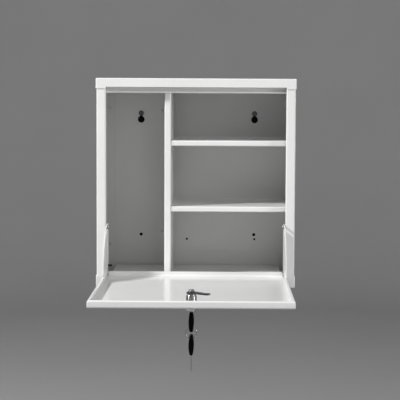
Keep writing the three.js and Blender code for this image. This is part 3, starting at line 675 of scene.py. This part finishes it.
# ---------------------------------------------------------------- lock
class CABINET_OT_lock_barrel(bpy.types.Operator):
    """Make the lock's threaded barrel with its two flats and its face ring"""

    bl_idname = "cabinet.lock_barrel"
    bl_label = "Lock barrel"

    def execute(self, context):
        lock = context.scene.cabinet_lock
        node = "lock_body"
        low, high, centre, face = ends(node, "Z")
        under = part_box("door_panel")[0].z - 0.2 * MM  # where the face ring meets the door
        plug = ends("lock_plug", "Z")[3] - 1 * MM
        bore = plug + lock.play
        bevel = lock.bevel
        crest = bore + lock.wall
        start = under + 2.2 * MM
        stop = high - 0.9 * MM
        profile = [
            (bore, low + bevel), (bore + bevel, low), (face - 2.6 * MM, low),
            (face - 1.9 * MM, low + 0.25 * MM), (face - 0.3 * MM, low + 3 * MM), (face, low + 3.7 * MM),
            (face, under - 0.5 * MM), (face - 0.3 * MM, under), (crest, under), (crest - lock.depth, start),
        ]
        turns = (stop - start) / lock.pitch
        count = int(turns * 8)
        profile += [(crest, start + (stop - start) * k / count) for k in range(1, count)]
        profile += [
            (crest - lock.depth, stop), (crest - 1.1 * MM, high), (bore + bevel, high),
            (bore, high - bevel),
        ]

        def threaded(angle, r, along):
            if start < along < stop:
                phase = ((along - start) / lock.pitch - angle / (2 * math.pi)) % 1.0
                fade = min(1.0, (along - start) / lock.pitch, (stop - along) / lock.pitch)
                r -= lock.depth * (1 - fade * (1 - abs(2 * phase - 1)))
            if along > under + 0.01 * MM and r > bore + 0.5 * MM:
                r = min(r, lock.flat / max(abs(math.sin(angle)), 1e-6))
            return r

        barrel = turned("lock_barrel", profile, "Z", centre, 96, loop=True, radius=threaded)
        place(barrel, node, finish_of(node))
        return {"FINISHED"}


class CABINET_OT_lock_plates(bpy.types.Operator):
    """Round and plate the plug, the clip, the cam and its screw"""

    bl_idname = "cabinet.lock_plates"
    bl_label = "Plug, clip and cam"

    def execute(self, context):
        sheet = context.scene.cabinet_sheet
        for node in ("lock_plug", "lock_clip", "cam", "cam_screw"):
            soften(node, sheet.plate_edge, sheet.steps + 1, finish_of(node))
        return {"FINISHED"}


# ---------------------------------------------------------------- keys
def curve_points(a, b, c, count):
    """Points on a quadratic curve from a to c with its corner at b, without the last."""
    points = []
    for k in range(count):
        t = k / count
        points.append(Vector(a) * (1 - t) ** 2 + Vector(b) * 2 * t * (1 - t) + Vector(c) * t ** 2)
    return points


def line_points(a, b, count):
    return [Vector(a).lerp(Vector(b), k / count) for k in range(count)]


def head_outline(half, long, keys):
    """A key head's outline about its ring hole, as (across, towards the blade) points."""
    foot = -keys.hole_from_end
    top = foot + long
    neck = keys.neck / 2
    corner = 7 * MM
    right = (
        line_points((0, foot), (half - corner, foot), 4)
        + curve_points((half - corner, foot), (half, foot), (half, foot + corner), 10)
        + line_points((half, foot + corner), (half, foot + 0.55 * long), 8)
        + curve_points(
            (half, foot + 0.55 * long), (half, foot + 0.8 * long), (neck + 1 * MM, top - 2 * MM), 12)
        + line_points((neck + 1 * MM, top - 2 * MM), (neck, top), 3)
        + line_points((neck, top), (0, top), 6)
    )
    left = [Vector((-p.x, p.y)) for p in reversed(right[1:])]
    return right + [Vector((0, top))] + left


class CABINET_OT_key_heads(bpy.types.Operator):
    """Make the moulded key heads, with a ribbed hollow on each side"""

    bl_idname = "cabinet.key_heads"
    bl_label = "Key heads"

    def execute(self, context):
        keys = context.scene.cabinet_keys
        for name in ("key_1", "key_2"):
            low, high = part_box(name + "_head")
            up = 1 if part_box(name + "_blade")[1].z > high.z else -1
            foot = low.z if up > 0 else high.z
            hole = Vector((middle(low, high).x, middle(low, high).y, foot + up * keys.hole_from_end))
            self.make(name, low, high, hole, up, keys)
        return {"FINISHED"}

    def make(self, name, low, high, hole, up, keys):
        half_thick = (high.x - low.x) / 2
        long = high.z - low.z
        outline = head_outline((high.y - low.y) / 2, long, keys)
        rings = 16
        rows = []
        for point in outline:
            out = point.normalized()
            edge_start = point - out * keys.edge
            side = [
                (out * (keys.hole + 0.7 * MM * (1 - math.cos(a))), -0.7 * MM * (1 - math.sin(a)))
                for a in (math.radians(22.5 * k) for k in range(4))
            ]
            rim = out * (keys.hole + 0.7 * MM)
            for k in range(rings + 1):
                at = rim.lerp(edge_start, k / rings)
                side.append((at, -self.hollow(at, keys, long)))
            for k in range(1, 7):
                a = math.radians(15 * k)
                side.append((
                    edge_start + out * keys.edge * math.sin(a), -keys.edge * (1 - math.cos(a)),
                ))
            side = [(at, self.thickness(at, half_thick, long, keys) + x) for at, x in side]
            other = [(at, -x) for at, x in reversed(side)]
            rows.append([
                hole + Vector((x, at.x, up * at.y)) for at, x in side + other
            ])
        piece = skin(name + "_grip", rows, around=True, closed=True, sharp=math.radians(60))
        place(piece, name + "_head", finish_of(name + "_head"))

    def thickness(self, at, half_thick, long, keys):
        """Half the head's thickness at a place: fullest at its middle, slim at its ends."""
        way = (at.y + keys.hole_from_end) / long * 2 - 1
        return half_thick - (half_thick - keys.end / 2) * way * way

    def hollow(self, at, keys, long):
        """How far the grip's surface lies below the head's face at a place."""
        centre = Vector((0, 0.36 * long))
        reach = Vector(((at.x - centre.x) / (7.6 * MM), (at.y - centre.y) / (8.4 * MM))).length
        inside = max(0.0, min(1.0, (1 - reach) / 0.22))
        inside = inside * inside * (3 - 2 * inside)
        wave = 0.5 - 0.5 * math.cos(2 * math.pi * at.y / keys.rib_pitch)
        return inside * (keys.recess - keys.rib * wave)


class CABINET_OT_key_blades(bpy.types.Operator):
    """Make the milled key blades with their cuts and grooves"""

    bl_idname = "cabinet.key_blades"
    bl_label = "Key blades"

    CUTS = (0.9, 1.7, 0.6, 1.4, 1.0)

    def execute(self, context):
        keys = context.scene.cabinet_keys
        for name in ("key_1", "key_2"):
            low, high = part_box(name + "_blade")
            head_low, head_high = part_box(name + "_head")
            up = 1 if high.z > head_high.z else -1
            neck = head_high.z if up > 0 else head_low.z
            tip = high.z if up > 0 else low.z
            self.make(name, low, high, neck - up * 2 * MM, tip, up, keys)
        return {"FINISHED"}

    def top_edge(self, along, long, wide):
        """The blade's cut edge at a place from the neck, above its middle."""
        pitch = long / (len(self.CUTS) + 2)
        edge = wide
        for i, depth in enumerate(self.CUTS):
            away = abs(along - (i + 1.5) * pitch)
            edge = min(edge, wide - depth * MM + max(0.0, away - 0.2 * pitch) * 0.9)
        point = max(0.0, along - (long - 3 * MM))
        return min(edge, wide - 0.8 * point)

    def make(self, name, low, high, start, tip, up, keys):
        long = abs(tip - start)
        half = (high.y - low.y) / 2
        thick = (high.x - low.x) / 2
        centre = middle(low, high)
        stations = 84
        rows = []
        for i in range(stations + 1):
            along = long * i / stations
            top = self.top_edge(along, long, half)
            bottom = -half + 0.9 * max(0.0, along - (long - 1.6 * MM))
            rows.append([
                Vector((centre.x + x, centre.y + y, start + up * along))
                for x, y in self.section(bottom, top, thick, keys.groove)
            ])
        piece = skin(name + "_milled", rows, closed=True, capped=True, sharp=math.radians(28))
        place(piece, name + "_blade", finish_of(name + "_blade"))

    def section(self, bottom, top, thick, groove):
        """The blade's section: flat sides with a groove each, at different heights."""
        def side(sign, at):
            points = []
            for k in range(15):
                y = bottom + (top - bottom) * k / 14
                near = max(0.0, 1 - abs(y - at) / (0.95 * MM))
                chamfer = 0.18 * MM if k in (0, 14) else 0.0
                points.append((sign * (thick - groove * min(1.0, 1.8 * near) - chamfer), y))
            return points
        return side(1, -0.9 * MM) + list(reversed(side(-1, 0.8 * MM)))


class CABINET_OT_key_ring(bpy.types.Operator):
    """Wind the split ring: two turns of flat wire that change places at the split"""

    bl_idname = "cabinet.key_ring"
    bl_label = "Split ring"

    def execute(self, context):
        node = "key_ring"
        low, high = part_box(node)
        centre = middle(low, high)
        wire = (high.y - low.y) / 2
        radius = (high.x - low.x) / 2 - wire
        across = wire * 0.46  # half a turn's thickness along the ring's axis
        jog = math.radians(16)
        first = math.radians(-70)
        stations = 260
        rows = []
        for i in range(stations + 1):
            turn = jog + (4 * math.pi - 2 * jog) * i / stations
            t = max(0.0, min(1.0, (turn - (2 * math.pi - jog)) / (2 * jog)))
            lift = (2 * (t * t * (3 - 2 * t)) - 1) * (wire - across)
            out = Vector((math.cos(first + turn), 0, math.sin(first + turn)))
            rows.append([
                centre + out * (radius + u) + Vector((0, lift + v, 0))
                for u, v in self.section(wire * 0.98, across)
            ])
        place(skin("split_ring", rows, closed=True, capped=True), node, finish_of(node))
        return {"FINISHED"}

    def section(self, wide, high):
        """A flat wire's section, with round edges."""
        flat = wide - high
        points = []
        for k in range(9):
            a = math.radians(-90 + 22.5 * k)
            points.append((flat + high * math.cos(a), high * math.sin(a)))
        return points + [(-u, -v) for u, v in points]


# ---------------------------------------------------------------- stage
HANG_ACROSS = 117.4 * MM  # from the cabinet's middle to a keyhole
SMALL_UP = 68.1 * MM  # the two small holes, above the panel's lower edge
SMALL_PATCH = 3 * MM
# The back panel's holes and the near-black patches of painted shade behind them: name, place across and
# above the panel's lower edge, radius of the patch
HOLES = [
    (f"wall_behind_{level}_{side}", sign * HANG_ACROSS, up * MM, radius * MM)
    for side, sign in (("left", -1), ("right", 1))
    for level, up, radius in (("eye", 316.8, 8.2), ("slot", 327, 4.4), ("fixing", 77.6, 4.4))
] + [
    ("wall_behind_small_left", -22 * MM, SMALL_UP, SMALL_PATCH),
    ("wall_behind_small_right", 118.5 * MM, SMALL_UP, SMALL_PATCH),
]
WALL_GAP = 1.2 * MM  # from the back panel to the patches
LIT_PLACE = Vector((0, -0.2, 0))  # what the lights look at
# The lights: name, place, length of a side, and the setting that holds the power
LIGHTS = (
    ("key_light", (-2.32, -1.35, 1.81), 0.35, "key"),
    ("side_light", (2.6, -1.55, 0.5), 1.2, "side"),
    ("fill_light", (1.5, -3.1, 0.9), 2.4, "fill"),
    ("top_light", (-0.2, -0.6, 2.6), 2.4, "top"),
)
BACKDROP_CENTRE = Vector((0, -0.25, 0))
BACKDROP_BEND = 1.4  # radius of the curve from the floor to the backdrop
BACKDROP_TOP = 4.5  # above the floor


class CABINET_OT_stage(bpy.types.Operator):
    """Set up the floor and its backdrop, the lights and the camera"""

    bl_idname = "cabinet.stage"
    bl_label = "Floor, lights and camera"

    def execute(self, context):
        stage = context.scene.cabinet_stage
        floor = CAD_BOX[0][2] - stage.floor_drop
        context.scene.view_settings.view_transform = "Standard"
        self.backdrop(stage, floor)
        self.shaded_wall_patches()
        self.world(stage)
        for name, at, size, setting in LIGHTS:
            self.light(name, at, size, getattr(stage, setting))
        self.camera(context, stage)
        return {"FINISHED"}

    def backdrop(self, stage, floor):
        """A round floor that curves up into a plain wall all about the cabinet."""
        bend = BACKDROP_BEND
        flat = stage.radius - bend
        profile = [(0.0, floor), (flat * 0.5, floor), (flat, floor)]
        for k in range(1, 13):
            a = math.radians(7.5 * k)
            profile.append((flat + bend * math.sin(a), floor + bend * (1 - math.cos(a))))
        profile.append((stage.radius, floor + BACKDROP_TOP))
        cove = turned("floor", profile, "Z", BACKDROP_CENTRE, 96)
        paint = Finish("plain_floor")
        paint.tint(paint.noise(0.4, 2), scaled(stage.floor, 0.985), scaled(stage.floor, 1.015))
        paint.set(Roughness=0.85, Specular_IOR_Level=0.2)
        cove.data.materials.append(paint.material)

    def shaded_wall_patches(self):
        """Near-black patches behind the back panel's holes: painted shade for the unlit wall that the holes
        would show.
        """
        low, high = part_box("back_panel")
        wall = Finish("unlit_wall")
        # Painted shade: near-black colour for the wall in the cabinet's shadow, seen through the holes
        wall.tint(wall.noise(4 * MM), (0.010, 0.010, 0.010), (0.016, 0.016, 0.016))
        wall.set(Roughness=0.95, Specular_IOR_Level=0.0)
        for name, across, up, radius in HOLES:
            centre = Vector((across, 0, low.z + up))
            behind = high.y + WALL_GAP
            patch = turned(name, [(0, behind), (radius, behind)], "Y", centre, 32)
            patch.data.materials.append(wall.material)

    def world(self, stage):
        world = bpy.data.worlds.new("even_light")
        world.use_nodes = True
        background = world.node_tree.nodes["Background"]
        background.inputs["Color"].default_value = (1.0, 1.0, 1.0, 1)
        background.inputs["Strength"].default_value = stage.ambient
        bpy.context.scene.world = world

    def light(self, name, at, size, power):
        """A square soft light that looks at the cabinet's middle."""
        data = bpy.data.lights.new(name, "AREA")
        data.shape = "SQUARE"
        data.size = size
        data.energy = power
        lamp = bpy.data.objects.new(name, data)
        lamp.location = at
        aim = LIT_PLACE - Vector(at)
        lamp.rotation_euler = aim.to_track_quat("-Z", "Y").to_euler()
        lamp.visible_camera = False
        bpy.context.scene.collection.objects.link(lamp)

    def camera(self, context, stage):
        data = bpy.data.cameras.new("camera")
        data.sensor_width = 36
        data.lens = stage.lens
        data.shift_x, data.shift_y = stage.shift
        data.clip_end = 50
        camera = bpy.data.objects.new("camera", data)
        turn = (
            Matrix.Rotation(-stage.heading, 4, "Z")
            @ Matrix.Rotation(math.pi / 2 - stage.tilt, 4, "X")
            @ Matrix.Rotation(stage.roll, 4, "Z")
        )
        camera.matrix_world = Matrix.Translation(stage.eye) @ turn
        context.scene.collection.objects.link(camera)
        context.scene.camera = camera


# ---------------------------------------------------------------- panel and registration
STEPS = (
    CABINET_OT_stage,
    CABINET_OT_carcass,
    CABINET_OT_insides,
    CABINET_OT_door,
    CABINET_OT_rivets,
    CABINET_OT_wall_screws,
    CABINET_OT_pins,
    CABINET_OT_buffer,
    CABINET_OT_lock_barrel,
    CABINET_OT_lock_plates,
    CABINET_OT_key_heads,
    CABINET_OT_key_blades,
    CABINET_OT_key_ring,
)
SETTINGS = {
    "cabinet_finishes": FinishSettings,
    "cabinet_sheet": SheetSettings,
    "cabinet_fasteners": FastenerSettings,
    "cabinet_lock": LockSettings,
    "cabinet_keys": KeySettings,
    "cabinet_stage": StageSettings,
}


class CABINET_PT_pieces(bpy.types.Panel):
    """Lists the pieces' operators and their settings"""

    bl_idname = "CABINET_PT_pieces"
    bl_label = "Drop-front cabinet"
    bl_space_type = "VIEW_3D"
    bl_region_type = "UI"
    bl_category = "Cabinet"

    def draw(self, context):
        for step in STEPS:
            self.layout.operator(step.bl_idname)
        for name, group in SETTINGS.items():
            box = self.layout.box()
            box.label(text=group.__doc__)
            for setting in group.__annotations__:
                box.prop(getattr(context.scene, name), setting)


def register():
    for group in (*SETTINGS.values(), *STEPS, CABINET_PT_pieces):
        bpy.utils.register_class(group)
    for name, group in SETTINGS.items():
        setattr(bpy.types.Scene, name, PointerProperty(type=group))


def unregister():
    for name in SETTINGS:
        delattr(bpy.types.Scene, name)
    for group in (CABINET_PT_pieces, *reversed(STEPS), *reversed(list(SETTINGS.values()))):
        bpy.utils.unregister_class(group)


def main():
    register()
    for step in STEPS:
        family, name = step.bl_idname.split(".")
        getattr(getattr(bpy.ops, family), name)()


if __name__ == "__main__":
    main()
